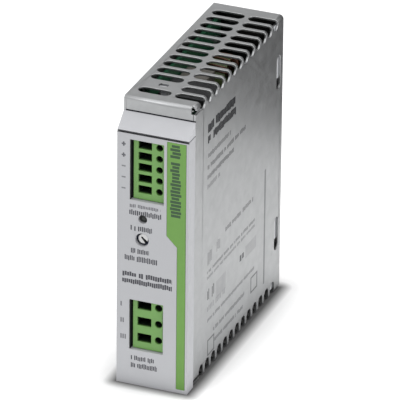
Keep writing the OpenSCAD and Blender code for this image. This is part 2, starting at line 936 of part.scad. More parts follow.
module rail_adapter() {
    rail_top = rail_z + rail_h / 2;
    half = adapter_half_w;
    color("black")
        difference() {
            union() {
                block([-half, half], [y_rear, seat_y], adapter_z);
                block([-lip_half_w, lip_half_w], [seat_y - 0.1, y_back],
                    [rail_top + 0.2, rail_top + 4.5]);
                block([-lip_half_w, lip_half_w], [lip_y, y_back],
                    [rail_top - lip_reach, rail_top + 0.3]);
            }
            difference() {
                latch_channel();
                block([-1.7, 1.7], [y_rear, seat_y - 0.3], [spring_z[0] - 2.5, spring_z[0]]);
            }
            for (x = adapter_screw_x, z = side_hole_z) {
                rod_y(1.7, x, [y_rear - 1, seat_y + 1], z);
                rod_y(2.9, x, [y_rear + 1.6, seat_y + 1], z);
            }
            for (z = [rail_z - 8, rail_z + 8])
                block([-half + 3, half - 3], [y_rear + 1.5, seat_y + 1], [z - 5, z + 5]);
        }
}

// Channel for the latch, with a groove on each side that keeps it in
module latch_channel() {
    top = latch_z[1] + 0.3;
    block([-latch_half_w - 0.3, latch_half_w + 0.3], [y_rear + 0.3, seat_y + 1],
        [adapter_z[0] - 1, top]);
    block([-guide_half_w - 0.3, guide_half_w + 0.3], [guide_y[0] - 0.2, guide_y[1] + 0.2],
        [adapter_z[0] - 1, top]);
}

module rail_latch() {
    rail_low = rail_z - rail_h / 2;
    color("dimgray")
        difference() {
            union() {
                block([-latch_half_w, latch_half_w], [y_rear + 0.5, seat_y - 0.1], latch_z);
                block([-guide_half_w, guide_half_w], guide_y,
                    [adapter_z[0] + latch_travel + 1, latch_z[1]]);
                translate([-latch_half_w, 0, 0])
                    rotate([90, 0, 90])
                        linear_extrude(2 * latch_half_w)
                            polygon([[seat_y - 0.2, rail_low - 7], [y_back - 0.8, rail_low - 7],
                                [y_back, rail_low - 5], [lip_y + 0.6, rail_low + lip_reach],
                                [lip_y, rail_low + lip_reach], [lip_y, rail_low - 0.2],
                                [seat_y + 0.15, rail_low - 0.2], [seat_y + 0.15, latch_z[1]],
                                [seat_y - 0.2, latch_z[1]]]);
                block([-latch_half_w, latch_half_w], [y_rear + 0.5, y_back - 1.5],
                    [latch_z[0], latch_z[0] + 5.5]);
            }
            block([-2, 2], [y_rear, seat_y + 1],
                [spring_z[0] - 2.5 - 0.5, spring_z[1]]);
            block([-3, 3], [y_rear + 3, y_back], [latch_z[0] + 2, latch_z[0] + 3.5]);
        }
}

// Compression spring between the adapter's peg and the latch's window
module latch_spring() {
    n = 14;
    sides = 8;
    steps = spring_turns * n;
    z0 = spring_z[0] + wire_r;
    dz = (spring_z[1] - spring_z[0] - 2 * wire_r) / steps;
    r = spring_r - wire_r;
    points = [for (k = [0 : steps], j = [0 : sides - 1])
        let (a = 360 * k / n, b = 360 * j / sides, rr = r + wire_r * cos(b))
            [rr * cos(a), rr * sin(a), z0 + k * dz + wire_r * sin(b)]];
    sides_f = [for (k = [0 : steps - 1], j = [0 : sides - 1])
        let (a = k * sides + j, b = k * sides + (j + 1) % sides)
            [a, a + sides, b + sides, b]];
    ends_f = [[for (j = [0 : sides - 1]) j],
        [for (j = [sides - 1 : -1 : 0]) steps * sides + j]];
    color("silver")
        translate([0, spring_y, 0])
            polyhedron(points, concat(sides_f, ends_f), convexity = 10);
}

module adapter_screws() {
    color("silver")
        for (x = adapter_screw_x, z = side_hole_z)
            difference() {
                union() {
                    rod_y(1.48, x, [y_rear - 3, y_rear + 1.6], z);
                    rod_y(2.7, x, [y_rear + 1.6, y_rear + 3.2], z);
                }
                block([x - 1.6, x + 1.6], [y_rear + 2.4, y_rear + 4], [z - 0.35, z + 0.35]);
                block([x - 0.35, x + 0.35], [y_rear + 2.4, y_rear + 4], [z - 1.6, z + 1.6]);
            }
}

chassis();
cover();
cover_screws();
front_panel();
front_bevel();
accent_strip();
main_board();
board_standoffs();
board_screws();
insulation_sheet();
transformer_core();
transformer_bobbin();
transformer_winding();
bulk_capacitors();
output_capacitors();
choke_cores();
choke_windings();
suppression_capacitors();
fuse();
varistor();
bridge_rectifier();
primary_heatsink();
secondary_heatsink();
power_transistor();
output_diode();
heatsink_screws();
control_chips();
led_holder();
status_led();
trimmer_body();
trimmer_rotor();
output_header();
output_header_pins();
output_plug();
output_contacts();
output_screw(1);  // output_screw_1
output_screw(2);  // output_screw_2
output_screw(3);  // output_screw_3
output_screw(4);  // output_screw_4
output_screw(5);  // output_screw_5
output_clamp(1);  // output_clamp_1
output_clamp(2);  // output_clamp_2
output_clamp(3);  // output_clamp_3
output_clamp(4);  // output_clamp_4
output_clamp(5);  // output_clamp_5
input_header();
input_header_pins();
input_plug();
input_contacts();
input_screw(1);  // input_screw_1
input_screw(2);  // input_screw_2
input_screw(3);  // input_screw_3
input_clamp(1);  // input_clamp_1
input_clamp(2);  // input_clamp_2
input_clamp(3);  // input_clamp_3
rail_adapter();
rail_latch();
latch_spring();
adapter_screws();
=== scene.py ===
import json
import math

import bmesh
import bpy
from mathutils import Matrix, Vector

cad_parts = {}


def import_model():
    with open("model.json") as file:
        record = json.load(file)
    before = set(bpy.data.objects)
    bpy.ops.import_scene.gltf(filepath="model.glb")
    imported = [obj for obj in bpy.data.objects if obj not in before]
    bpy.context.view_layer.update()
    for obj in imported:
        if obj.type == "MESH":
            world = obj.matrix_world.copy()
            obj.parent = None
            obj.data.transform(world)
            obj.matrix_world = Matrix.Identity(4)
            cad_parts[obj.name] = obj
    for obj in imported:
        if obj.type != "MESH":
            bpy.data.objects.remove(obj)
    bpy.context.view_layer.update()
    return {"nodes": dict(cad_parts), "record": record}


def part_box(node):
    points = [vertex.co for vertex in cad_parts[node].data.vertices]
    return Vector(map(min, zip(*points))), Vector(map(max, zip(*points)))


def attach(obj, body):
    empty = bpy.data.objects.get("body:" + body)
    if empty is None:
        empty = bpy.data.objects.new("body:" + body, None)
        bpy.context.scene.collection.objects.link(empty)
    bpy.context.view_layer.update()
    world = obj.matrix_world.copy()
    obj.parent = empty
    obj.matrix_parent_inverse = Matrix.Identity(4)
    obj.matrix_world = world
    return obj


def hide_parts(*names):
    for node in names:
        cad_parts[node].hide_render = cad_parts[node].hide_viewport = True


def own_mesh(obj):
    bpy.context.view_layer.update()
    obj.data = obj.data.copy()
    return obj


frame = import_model()
NODES = frame["nodes"]
MM = 0.001

# Planes of the CAD model that the finishes refer to, in millimetres
PANEL_FACE = -57.5
PLUG_FACE = -56.0
ROTOR_FACE = -56.0
STEEL_FRONT = -50.3
PANEL_TOP = 117.0
BEVEL_TOP = 124.0
WINDOW_LEFT = -10.2
FLANGE_FACE = 14.95
FIXING_HOLE_Y = 44.5
FIXING_HOLES_Z = (22.8, 99.4)
# Height of the first terminal and distance between terminals, in millimetres
OUT_FIRST, OUT_PITCH = 111.7, 5.08
IN_FIRST, IN_PITCH = 37.3, 7.62


# ---------- materials ----------


class Paint:
    """A node material with short ways to make and join its nodes."""

    def __init__(self, name):
        self.material = bpy.data.materials.new(name)
        self.material.use_nodes = True
        self.tree = self.material.node_tree
        self.shader = self.tree.nodes["Principled BSDF"]
        self.place = self.tree.nodes.new("ShaderNodeTexCoord").outputs["Object"]
        self.axes = None

    def node(self, kind, **settings):
        made = self.tree.nodes.new(kind)
        for key, value in settings.items():
            setattr(made, key, value)
        return made

    def join(self, source, socket):
        if hasattr(source, "is_linked"):
            self.tree.links.new(source, socket)
        else:
            socket.default_value = source

    def math(self, operation, *values):
        made = self.node("ShaderNodeMath", operation=operation)
        for value, socket in zip(values, made.inputs):
            self.join(value, socket)
        return made.outputs[0]

    def axis(self, index):
        """One coordinate of the surface point, in millimetres."""
        if self.axes is None:
            scaled = self.node("ShaderNodeVectorMath", operation="SCALE")
            self.join(self.place, scaled.inputs[0])
            scaled.inputs["Scale"].default_value = 1 / MM
            split = self.node("ShaderNodeSeparateXYZ")
            self.join(scaled.outputs[0], split.inputs[0])
            self.axes = split.outputs
        return self.axes[index]

    def noise(self, size_mm, detail=3.0, stretch=(1, 1, 1)):
        """Noise whose blotches are about size_mm across."""
        mapped = self.node("ShaderNodeMapping")
        mapped.inputs["Scale"].default_value = [s / (size_mm * MM) for s in stretch]
        self.join(self.place, mapped.inputs["Vector"])
        made = self.node("ShaderNodeTexNoise")
        made.inputs["Scale"].default_value = 1.0
        made.inputs["Detail"].default_value = detail
        made.inputs["Roughness"].default_value = 0.5
        self.join(mapped.outputs[0], made.inputs["Vector"])
        return made.outputs["Fac"]

    def cells(self, size_mm):
        mapped = self.node("ShaderNodeMapping")
        mapped.inputs["Scale"].default_value = [1 / (size_mm * MM)] * 3
        self.join(self.place, mapped.inputs["Vector"])
        made = self.node("ShaderNodeTexVoronoi")
        made.inputs["Scale"].default_value = 1.0
        self.join(mapped.outputs[0], made.inputs["Vector"])
        return made

    def ramp(self, value, low, high, start=0.3, end=0.7):
        """A number that goes from low to high while value goes from start to end."""
        made = self.node("ShaderNodeMapRange")
        made.inputs["From Min"].default_value = start
        made.inputs["From Max"].default_value = end
        made.inputs["To Min"].default_value = low
        made.inputs["To Max"].default_value = high
        self.join(value, made.inputs["Value"])
        return made.outputs[0]

    def mix(self, factor, first, second, blend="MIX"):
        made = self.node("ShaderNodeMix", data_type="RGBA", blend_type=blend)
        self.join(factor, made.inputs["Factor"])
        for value, socket in ((first, made.inputs[6]), (second, made.inputs[7])):
            self.join(value if hasattr(value, "is_linked") else (*value, 1), socket)
        return made.outputs[2]

    def both(self, *masks):
        """The product of some masks."""
        total = masks[0]
        for mask in masks[1:]:
            total = self.math("MULTIPLY", total, mask)
        return total

    def band(self, index, middle, half):
        """1 where a coordinate is within half of middle, in millimetres."""
        return self.math("COMPARE", self.axis(index), middle, half)

    def tone(self):
        """The colour that already goes into the shader."""
        return self.shader.inputs["Base Color"].links[0].from_socket

    def bump(self, height, depth_mm, previous=None):
        made = self.node("ShaderNodeBump")
        made.inputs["Strength"].default_value = 1.0
        made.inputs["Distance"].default_value = depth_mm * MM
        self.join(height, made.inputs["Height"])
        if previous is not None:
            self.join(previous, made.inputs["Normal"])
        return made.outputs[0]

    def set(self, **values):
        for key, value in values.items():
            self.join(value, self.shader.inputs[key.replace("_", " ")])


def shade(colour, factor):
    return tuple(min(1.0, c * factor) for c in colour)


def plain(name, colour, rough, metal=0.0, vary=0.12, grain=0.35, depth=0.012, spread=0.08):
    """A moulded, cast or coated finish: blotches, fine grain and uneven gloss."""
    p = Paint(name)
    blotch = p.noise(9, 4)
    fine = p.noise(grain, 2)
    tone = p.mix(p.ramp(blotch, 0, 1), shade(colour, 1 - vary), shade(colour, 1 + vary / 2))
    tone = p.mix(p.ramp(fine, 0, 0.35), tone, shade(colour, 1 - 1.4 * vary))
    p.set(Base_Color=tone, Metallic=metal)
    p.set(Roughness=p.ramp(p.noise(2.5, 3), rough - spread, rough + spread))
    p.set(Normal=p.bump(fine, depth))
    return p


def stripe_box(p, axis_u, axis_v, u, v):
    """1 inside the rectangle u x v, in millimetres on two axes."""
    return p.both(p.band(axis_u, (u[0] + u[1]) / 2, (u[1] - u[0]) / 2),
                  p.band(axis_v, (v[0] + v[1]) / 2, (v[1] - v[0]) / 2))


def greeked(p, axis_u, axis_v, u, v, letter, seed, blank, weight):
    """A printed row of upright strokes with uneven heights and gaps; it spells nothing.

    letter is the stroke pitch in millimetres, blank the share of gaps and weight the inked share of a pitch.
    """
    along = p.math("DIVIDE", p.math("SUBTRACT", p.axis(axis_u), u[0]), letter)
    cell = p.node("ShaderNodeTexWhiteNoise", noise_dimensions="1D")
    p.join(p.math("ADD", p.math("FLOOR", along), seed), cell.inputs["W"])
    chance = cell.outputs["Value"]
    stroke = p.math("LESS_THAN", p.math("FRACT", along), weight)
    kept = p.math("GREATER_THAN", chance, blank)
    tall = v[1] - v[0]
    lifted = p.math("FRACT", p.math("MULTIPLY", chance, 7))
    low = p.math("ADD", p.math("MULTIPLY", lifted, 0.2 * tall), v[0])
    cut = p.math("FRACT", p.math("MULTIPLY", chance, 13))
    high = p.math("SUBTRACT", v[1], p.math("MULTIPLY", cut, 0.22 * tall))
    above = p.math("GREATER_THAN", p.axis(axis_v), low)
    below = p.math("LESS_THAN", p.axis(axis_v), high)
    across = p.band(axis_u, (u[0] + u[1]) / 2, (u[1] - u[0]) / 2)
    return p.both(stroke, kept, above, below, across)


def all_of(p, masks):
    """The highest of some masks, each times its strength."""
    total = None
    for mask, strength in masks:
        one = p.math("MULTIPLY", mask, strength)
        total = one if total is None else p.math("MAXIMUM", total, one)
    return total


def front_print(p):
    """Plain marks on the front face: rows of strokes where a maker would print words."""
    # X range, height range, stroke pitch and strength of each row
    rows = [
        ((-10.2, 3.6), (83.0, 84.8), 0.72, 0.80),
        ((-10.4, 3.9), (79.4, 82.2), 0.86, 1.0),
        ((-9.8, -0.2), (72.2, 75.0), 0.84, 1.0),
        ((-9.6, -1.4), (61.7, 64.4), 0.74, 1.0),
        ((-12.4, 2.4), (58.0, 60.8), 0.78, 1.0),
        ((-14.4, 8.9), (50.5, 53.1), 1.05, 1.0),
        ((-14.4, 8.9), (47.3, 49.9), 0.95, 1.0),
        ((-9.4, 1.6), (11.4, 13.9), 0.76, 1.0),
        ((-9.4, 2.4), (8.0, 10.6), 0.72, 1.0),
    ]
    masks = []
    for number, (u, v, letter, ink) in enumerate(rows):
        weight = 0.82 if 47 < v[0] < 51 else 0.68
        row = greeked(p, 0, 2, u, v, letter, seed=31.5 * number, blank=0.09, weight=weight)
        masks.append((row, ink))
    # Plus and minus beside the output terminals
    for i in range(5):
        z = OUT_FIRST - OUT_PITCH * i
        ink = 0.85 if i < 2 else 0.6
        masks.append((stripe_box(p, 0, 2, (-13.9, -12.1), (z - 0.35, z + 0.35)), ink))
        if i < 2:
            masks.append((stripe_box(p, 0, 2, (-13.35, -12.65), (z - 1.0, z + 1.0)), ink))
    # One, two and three bars beside the input terminals
    for i in range(3):
        z = IN_FIRST - IN_PITCH * i
        for side in range(i + 1):
            at = -14.2 + 0.95 * side
            masks.append((stripe_box(p, 0, 2, (at, at + 0.6), (z - 1.1, z + 1.1)), 0.75))
    on_face = p.math("LESS_THAN", p.axis(1), PANEL_FACE + 0.1)
    return p.math("MULTIPLY", all_of(p, masks), on_face)


def side_print(p):
    """Plain rows, blocks and empty squares on the right side."""
    # Range behind the steel's front, height range, stroke pitch, strength and weight of each row
    rows = [
        ((14, 45.5), (112.2, 116.9), 1.7, 1.0, 0.95),
        ((14, 45.5), (107.4, 111.8), 1.5, 1.0, 0.95),
        ((14.5, 40), (100.4, 102.8), 1.1, 0.62, 0.66),
        ((14, 57), (95.2, 97.6), 1.1, 0.74, 0.66),
        ((14, 44), (90.6, 93.0), 1.1, 0.74, 0.66),
        ((14, 28), (86.2, 88.6), 1.1, 0.5, 0.66),
        ((35, 67), (56.8, 59.2), 1.1, 0.66, 0.66),
        ((14.5, 69), (46.2, 48.0), 0.9, 0.62, 0.66),
        ((14.5, 69), (43.6, 45.2), 0.9, 0.5, 0.66),
        ((14.5, 69), (23.2, 25.0), 0.9, 0.6, 0.66),
        ((22, 58), (16.0, 18.0), 0.9, 0.62, 0.66),
        ((23, 57), (10.4, 12.4), 0.9, 0.62, 0.66),
        ((52, 57.5), (34.4, 37.6), 2.75, 0.8, 0.7),
        ((15, 23), (33.0, 39.0), 1.3, 0.75, 0.6),
        ((15, 35), (28.0, 31.2), 1.6, 0.32, 0.6),
        ((24, 29), (52.0, 58.0), 1.1, 0.45, 0.6),
        ((15, 20), (50.2, 57.6), 1.2, 0.45, 0.6),
    ]
    masks = []
    for number, (b, z, letter, ink, weight) in enumerate(rows):
        y = (STEEL_FRONT + b[0], STEEL_FRONT + b[1])
        row = greeked(p, 1, 2, y, z, letter, seed=17.5 * number, blank=0.1, weight=weight)
        masks.append((row, ink))
    # Two faint blocks, two empty squares and a narrow upright bar
    for b, z, ink in (((58.5, 71), (33.2, 39.0), 0.16), ((25, 36), (30.0, 38.2), 0.14)):
        masks.append((stripe_box(p, 1, 2, (STEEL_FRONT + b[0], STEEL_FRONT + b[1]), z), ink))
    for b0, z0 in ((15.5, 7.0), (65, 13.2)):
        outer = stripe_box(p, 1, 2, (STEEL_FRONT + b0, STEEL_FRONT + b0 + 8), (z0, z0 + 7.7))
        inner = stripe_box(p, 1, 2, (STEEL_FRONT + b0 + 1, STEEL_FRONT + b0 + 7), (z0 + 0.8, z0 + 6.9))
        masks.append((p.math("SUBTRACT", outer, inner), 0.6))
    masks.append((stripe_box(p, 1, 2, (29.6, 31.2), (10.7, 65.5)), 0.48))
    on_side = p.math("GREATER_THAN", p.axis(0), 15.9)
    return p.math("MULTIPLY", all_of(p, masks), on_side)


def strip_print(p):
    """A column of plain strokes on the wide part of the coloured strip."""
    return greeked(p, 2, 0, (82.0, 115.2), (7.7, 12.9), letter=1.6, seed=4.5, blank=0.03, weight=0.78)


def steel(name, printed=False):
    """Zinc-coated sheet: pale spangle, faint rolling lines and a soft gloss."""
    p = Paint(name)
    spangle = p.cells(3.2)
    tint = p.node("ShaderNodeSeparateColor")
    p.join(spangle.outputs["Color"], tint.inputs[0])
    rolling = p.noise(0.5, 2, (1, 0.03, 1))
    base = p.mix(p.ramp(tint.outputs[0], 0, 1, 0, 1), (0.36, 0.366, 0.371), (0.388, 0.394, 0.399))
    base = p.mix(p.ramp(p.noise(14, 4), 0, 0.5), base, (0.354, 0.361, 0.365))
    # Painted shade: the room inside the sheet is darker, which gives depth behind the slots
    inside = p.both(p.band(0, -0.55, 14.4), p.band(2, 65, 64.06), p.band(1, -0.4, 48.96))
    base = p.mix(inside, base, (0.07, 0.07, 0.074))
    rough = p.math("ADD", p.ramp(p.noise(5, 4), 0.36, 0.44), p.ramp(rolling, -0.015, 0.015))
    metal = 0.96
    if printed:
        # Shade where the sheet laps over the bevel
        in_front = p.math("LESS_THAN", p.axis(1), STEEL_FRONT + 0.2)
        seam = p.both(p.band(2, BEVEL_TOP - 0.2, 0.32), in_front)
        base = p.mix(seam, base, (0.02, 0.02, 0.024))
        ink = side_print(p)
        base = p.mix(ink, base, (0.02, 0.02, 0.024))
        rough = p.math("ADD", rough, p.math("MULTIPLY", ink, 0.12))
    else:
        # Painted light on the inner flange that shows through the side slots, and painted shade in the
        # fixing holes in it
        flange = p.math("GREATER_THAN", p.axis(0), FLANGE_FACE - 0.05)
        base = p.mix(flange, base, (0.6, 0.61, 0.63))
        metal = p.ramp(flange, metal, 0.3, 0, 1)
        hole = p.math("MAXIMUM", *[p.band(2, z, 2.3) for z in FIXING_HOLES_Z])
        hole = p.both(hole, p.band(1, FIXING_HOLE_Y, 2.4), p.math("GREATER_THAN", p.axis(0), 13.8))
        base = p.mix(hole, base, (0.012, 0.012, 0.013))
    p.set(Base_Color=base, Metallic=metal, Roughness=rough)
    p.set(Normal=p.bump(rolling, 0.002, p.bump(p.noise(0.25, 2), 0.002)))
    return p


def front_plastic():
    p = plain("front_plastic", (0.455, 0.46, 0.48), 0.5, vary=0.035, grain=0.3, depth=0.01)
    tone = p.tone()
    # Painted shade and light: the panel is a little darker than the bevel and gets paler towards the bottom
    body = p.both(p.ramp(p.axis(2), 0, 1, 2, 30), p.math("LESS_THAN", p.axis(2), PANEL_TOP + 0.2))
    tone = p.mix(body, tone, (0.398, 0.403, 0.42))
    tone = p.mix(front_print(p), tone, (0.035, 0.035, 0.045))
    # Shade in the gap under the bevel and on the left wall of the plug openings
    seam = p.both(p.band(2, PANEL_TOP + 0.25, 0.5), p.math("LESS_THAN", p.axis(1), PANEL_FACE + 0.6))
    behind = p.ramp(p.axis(1), 0, 1, PANEL_FACE + 0.1, PANEL_FACE + 0.6)
    wall = p.both(p.band(0, WINDOW_LEFT, 0.3), behind, p.band(2, 65.4, 49))
    p.set(Base_Color=p.mix(p.math("MAXIMUM", seam, wall), tone, (0.03, 0.03, 0.035)))
    return p


def accent():
    p = plain("accent", (0.118, 0.272, 0.045), 0.38, vary=0.05, grain=0.3, depth=0.006)
    tone = p.tone()
    p.set(Base_Color=p.mix(strip_print(p), tone, (0.018, 0.06, 0.018)))
    return p


def plug_plastic():
    """Moulded terminal plug with a green face and green right side.

    The painted shade is meant for the insides of the entries and wells. It also covers the plug's top,
    bottom, left side and nose, which show once the plug is pulled out.
    """
    p = plain("plug_plastic", (0.132, 0.29, 0.071), 0.42, vary=0.08)
    tone = p.tone()
    # Painted shade behind the plug's face, in the column of entries and wells
    depth = p.ramp(p.axis(1), 0, 1, PLUG_FACE + 0.1, PLUG_FACE + 1.4)
    column = p.both(depth, p.band(0, -2.6, 7.2))
    p.set(Base_Color=p.mix(column, tone, (0.006, 0.012, 0.006)))
    return p


def rotor():
    """White rotor; painted shade darkens its slot and its flank."""
    p = plain("rotor", (0.62, 0.62, 0.62), 0.42, vary=0.06)
    tone = p.tone()
    depth = p.ramp(p.axis(1), 0, 1, ROTOR_FACE + 0.05, ROTOR_FACE + 0.4)
    p.set(Base_Color=p.mix(depth, tone, (0.02, 0.02, 0.022)))
    return p


def board():
    """Solder mask with paler copper tracks and a fine weave."""
    p = Paint("board")
    tracks = p.node("ShaderNodeTexBrick")
    mapped = p.node("ShaderNodeMapping")
    mapped.inputs["Rotation"].default_value = (0, math.pi / 2, 0)
    mapped.inputs["Scale"].default_value = (120, 120, 120)
    p.join(p.place, mapped.inputs["Vector"])
    p.join(mapped.outputs[0], tracks.inputs["Vector"])
    tracks.inputs["Scale"].default_value = 2.0
    tracks.inputs["Mortar Size"].default_value = 0.06
    tracks.inputs["Color1"].default_value = (0, 0, 0, 1)
    tracks.inputs["Color2"].default_value = (0.15, 0.15, 0.15, 1)
    tracks.inputs["Mortar"].default_value = (1, 1, 1, 1)
    base = p.mix(tracks.outputs["Color"], (0.006, 0.045, 0.022), (0.018, 0.095, 0.045))
    base = p.mix(p.ramp(p.noise(12, 4), 0, 0.4), base, (0.01, 0.06, 0.032))
    p.set(Base_Color=base, Roughness=p.ramp(p.noise(1.2, 3), 0.28, 0.42))
    weave = p.noise(0.5, 2)
    p.set(Normal=p.bump(tracks.outputs["Color"], 0.03, p.bump(weave, 0.006)))
    return p


def sleeve(name, colour, mark):
    """Shrunk sleeve with a slight wrinkle and narrow paler bands, 5 mm apart along Y."""
    p = plain(name, colour, 0.3, vary=0.1, grain=0.6, depth=0.01)
    tone = p.tone()
    band = p.math("LESS_THAN", p.math("FRACT", p.math("DIVIDE", p.axis(1), 5.0)), 0.16)
    p.set(Base_Color=p.mix(p.math("MULTIPLY", band, 0.6), tone, mark))
    p.set(Coat_Weight=0.3)
    return p


def copper():
    p = plain("copper", (0.11, 0.038, 0.018), 0.36, 0.6, vary=0.2, grain=0.5, depth=0.004)
    p.set(Coat_Weight=0.4)
    return p


def tape():
    """Yellow polyester tape in overlapping turns."""
    p = plain("tape", (0.75, 0.58, 0.12), 0.3, vary=0.08, grain=1.0, depth=0.01)
    turn = p.math("FRACT", p.math("DIVIDE", p.axis(2), 3.1))
    edge = p.ramp(turn, 0, 1, 0.86, 1.0)
    tone = p.tone()
    p.set(Base_Color=p.mix(p.math("MULTIPLY", edge, 0.35), tone, (0.4, 0.28, 0.05)))
    return p


def lens():
    """Unlit diffused lamp, dark grey green."""
    p = plain("lens", (0.02, 0.022, 0.021), 0.3, vary=0.2, grain=0.5, depth=0.004)
    p.set(Specular_IOR_Level=0.35)
    return p


SLOTS = {
    "steel": lambda: steel("steel"),
    "front_plastic": front_plastic,
    "accent": accent,
    "plug_plastic": plug_plastic,
    "header_plastic": lambda: plain("header_plastic", (0.045, 0.13, 0.03), 0.45, vary=0.1),
    "board": board,
    "zinc": lambda: plain("zinc", (0.60, 0.61, 0.63), 0.32, 0.95, vary=0.12, depth=0.006),
    "brass": lambda: plain("brass", (0.62, 0.45, 0.18), 0.34, 0.95, vary=0.15, depth=0.006),
    "film": lambda: plain("film", (0.80, 0.78, 0.70), 0.3, vary=0.02, grain=2.0, depth=0.01),
    "ferrite": lambda: plain("ferrite", (0.035, 0.034, 0.036), 0.55, vary=0.2, depth=0.03),
    "black_plastic": lambda: plain("black_plastic", (0.022, 0.022, 0.024), 0.42, vary=0.2),
    "tape": tape,
    "sleeve": lambda: sleeve("sleeve", (0.012, 0.015, 0.05), (0.35, 0.37, 0.45)),
    "sleeve_output": lambda: sleeve("sleeve_output", (0.02, 0.035, 0.03), (0.45, 0.42, 0.25)),
    "toroid": lambda: plain("toroid", (0.10, 0.13, 0.05), 0.5, vary=0.2, depth=0.02),
    "copper": copper,
    "capacitor_case": lambda: plain("capacitor_case", (0.13, 0.12, 0.105), 0.4, vary=0.06),
    "ceramic": lambda: plain("ceramic", (0.34, 0.33, 0.30), 0.35, vary=0.06),
    "varistor_coat": lambda: plain("varistor_coat", (0.05, 0.16, 0.38), 0.3, vary=0.1),
    "aluminium": lambda: plain("aluminium", (0.06, 0.06, 0.063), 0.5, 0.7, vary=0.2, grain=0.4),
    "lens": lens,
    "trimmer_blue": lambda: plain("trimmer_blue", (0.012, 0.018, 0.045), 0.38, vary=0.12),
    "rotor": rotor,
    "tin": lambda: plain("tin", (0.66, 0.66, 0.65), 0.28, 0.95, vary=0.12, depth=0.004),
    "adapter_plastic": lambda: plain("adapter_plastic", (0.03, 0.03, 0.033), 0.5, vary=0.2),
    "latch_plastic": lambda: plain("latch_plastic", (0.055, 0.056, 0.06), 0.48, vary=0.15),
    "spring": lambda: plain("spring", (0.50, 0.50, 0.50), 0.28, 0.95, vary=0.15, depth=0.004),
}
FINISH = {slot: make().material for slot, make in SLOTS.items()}
FINISH["steel_printed"] = steel("steel_printed", printed=True).material


def dress(node, finish):
    """Gives every material slot of a CAD node one finish."""
    obj = NODES[node]
    if not obj.material_slots:
        obj.data.materials.append(None)
    for slot in obj.material_slots:
        slot.link = "OBJECT"
        slot.material = FINISH[finish]


def soften(node, width_mm, segments=2, angle=32):
    """Rounds a CAD node's sharp edges with modifiers, so that they catch the light."""
    obj = NODES[node]
    weld = obj.modifiers.new("weld", "WELD")
    weld.merge_threshold = 2e-6
    edge = obj.modifiers.new("edge", "BEVEL")
    edge.width = width_mm * MM
    edge.segments = segments
    edge.limit_method = "ANGLE"
    edge.angle_limit = math.radians(angle)
    edge.use_clamp_overlap = False
    edge.harden_normals = True


for part in frame["record"]["subparts"]:
    dress(part["node"], part["material_slot"])
dress("cover", "steel_printed")

EDGES = {
    "chassis": 0.1,
    "cover": 0.22,
    "front_panel": 0.15,
    "front_bevel": 0.2,
    "accent_strip": 0.12,
    "output_plug": 0.16,
    "input_plug": 0.16,
    "output_header": 0.15,
    "input_header": 0.15,
    "rail_adapter": 0.3,
    "rail_latch": 0.3,
    "trimmer_body": 0.15,
    "transformer_core": 0.25,
    "transformer_bobbin": 0.2,
    "suppression_capacitors": 0.5,
    "primary_heatsink": 0.2,
    "secondary_heatsink": 0.2,
    "bridge_rectifier": 0.25,
    "led_holder": 0.2,
}
for node, width in EDGES.items():
    soften(node, width)


# ---------- pieces built in place of plain CAD solids ----------


def piece(name, built, body, node, finish):
    """Makes a shaded object of a bmesh; it rides on a body and stands for a CAD node."""
    bmesh.ops.recalc_face_normals(built, faces=built.faces)
    mesh = bpy.data.meshes.new(name)
    built.to_mesh(mesh)
    built.free()
    for face in mesh.polygons:
        face.use_smooth = True
    mesh.materials.append(FINISH[finish])
    obj = bpy.data.objects.new(name, mesh)
    bpy.context.scene.collection.objects.link(obj)
    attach(obj, body)
    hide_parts(node)
    return obj


def add_wire(built, path, radius, sides=8):
    """Adds a round wire with closed ends along a path of points."""
    rings = []
    normal = (path[1] - path[0]).orthogonal().normalized()
    for i, point in enumerate(path):
        tangent = (path[min(i + 1, len(path) - 1)] - path[max(i - 1, 0)]).normalized()
        normal = (normal - tangent * normal.dot(tangent)).normalized()
        side = tangent.cross(normal)
        turns = [2 * math.pi * k / sides for k in range(sides)]
        spokes = [math.cos(a) * normal + math.sin(a) * side for a in turns]
        rings.append([built.verts.new(point + radius * spoke) for spoke in spokes])
    for first, second in zip(rings, rings[1:]):
        for k in range(sides):
            after = (k + 1) % sides
            built.faces.new((first[k], first[after], second[after], second[k]))
    built.faces.new(rings[0])
    built.faces.new(rings[-1])


def winding_path(centre, r_in, r_out, half_h, start, span, turns):
    """A wire wound round a ring core whose axis is along X: a rounded loop that creeps along the ring."""
    steps = 28
    points = []
    for k in range(turns * steps + 1):
        loop = 2 * math.pi * k / steps
        wide, deep = math.cos(loop), math.sin(loop)
        squarer = (abs(wide) ** 4 + abs(deep) ** 4) ** -0.25
        radial = (r_out + r_in) / 2 + (r_out - r_in) / 2 * wide * squarer
        along = half_h * deep * squarer
        angle = math.radians(start + span * k / (turns * steps))
        points.append(centre + MM * Vector((along, radial * math.cos(angle), radial * math.sin(angle))))
    return points


def choke_windings():
    """Two coils of lacquered wire on each ring choke."""
    low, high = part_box("choke_cores")
    wire = 0.42
    built = bmesh.new()
    for y, z, r_out, r_in, height in ((13, 17, 9.5, 5, 9), (30, 106, 9, 4.5, 8)):
        centre = Vector((low.x + height / 2 * MM, y * MM, z * MM))
        for start in (25, 205):
            clear = wire + 0.1
            path = winding_path(centre, r_in - clear, r_out + clear, height / 2 + clear, start, 130, 10)
            add_wire(built, path, wire * MM)
    piece("choke_wire", built, "housing", "choke_windings", "copper")


